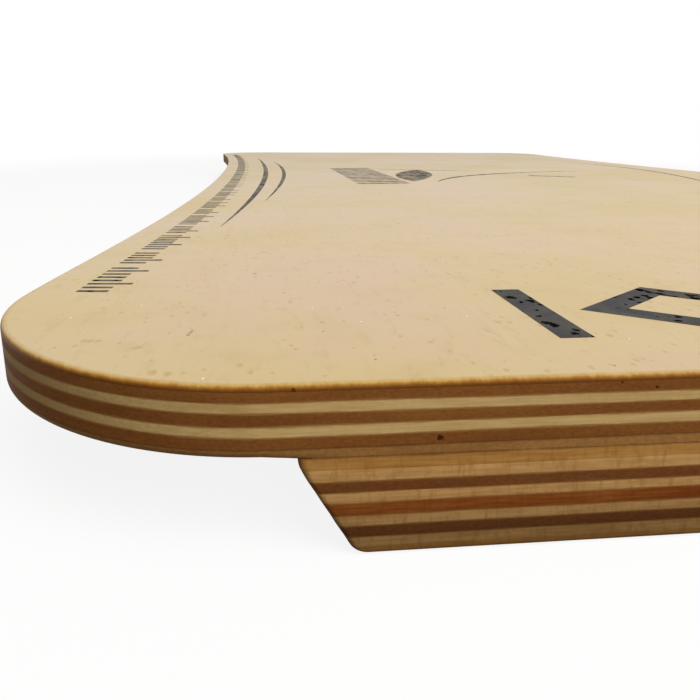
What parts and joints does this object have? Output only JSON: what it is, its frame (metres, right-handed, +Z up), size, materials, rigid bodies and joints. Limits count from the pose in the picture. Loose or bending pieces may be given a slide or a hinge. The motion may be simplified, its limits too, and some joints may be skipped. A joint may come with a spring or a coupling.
{
  "type": "balance board",
  "caption": "Waisted plywood balance board deck with a laminated stop block screwed under each end to keep a loose roller between them.",
  "frame": {"origin": "on the floor under the middle of the board, at the level of the stops' undersides", "axes": "+Z up through the standing face, +Y along the deck's length, +X across the deck"},
  "size_m": [0.35, 0.83, 0.0211],
  "materials": {
    "face_veneer": "clear satin lacquer over a cream maple face veneer",
    "dark_core_ply": "sanded and lacquered edge of a red-brown core ply",
    "pale_core_ply": "sanded and lacquered edge of a pale core ply",
    "backing_veneer": "sanded and lacquered brown backing veneer",
    "stop_amber_ply": "sanded and lacquered edge of an amber ply",
    "stop_pale_ply": "sanded and lacquered edge of a pale ply",
    "stop_brown_ply": "sanded and lacquered edge of a dark brown ply",
    "stop_russet_ply": "sanded and lacquered edge of a russet ply",
    "screw_steel": "zinc plated steel",
    "printed_ink": "dark charcoal screen-print ink under lacquer"
  },
  "bodies": {
    "root": {"deck_top_veneer": "face_veneer", "deck_core_ply_1": "dark_core_ply", "deck_core_ply_2": "pale_core_ply", "deck_core_ply_3": "dark_core_ply", "deck_core_ply_4": "pale_core_ply", "deck_core_ply_5": "dark_core_ply", "deck_bottom_veneer": "backing_veneer", "front_stop_ply_1": "stop_amber_ply", "front_stop_ply_2": "stop_pale_ply", "front_stop_ply_3": "stop_brown_ply", "front_stop_ply_4": "stop_pale_ply", "front_stop_ply_5": "stop_russet_ply", "front_stop_ply_6": "stop_pale_ply", "front_stop_ply_7": "stop_brown_ply", "front_stop_ply_8": "stop_pale_ply", "front_stop_ply_9": "stop_amber_ply", "rear_stop_ply_1": "stop_amber_ply", "rear_stop_ply_2": "stop_pale_ply", "rear_stop_ply_3": "stop_brown_ply", "rear_stop_ply_4": "stop_pale_ply", "rear_stop_ply_5": "stop_russet_ply", "rear_stop_ply_6": "stop_pale_ply", "rear_stop_ply_7": "stop_brown_ply", "rear_stop_ply_8": "stop_pale_ply", "rear_stop_ply_9": "stop_amber_ply", "front_stop_screw_1": "screw_steel", "front_stop_screw_2": "screw_steel", "front_stop_screw_3": "screw_steel", "front_stop_screw_4": "screw_steel", "rear_stop_screw_1": "screw_steel", "rear_stop_screw_2": "screw_steel", "rear_stop_screw_3": "screw_steel", "rear_stop_screw_4": "screw_steel"}
  },
  "joints": []
}
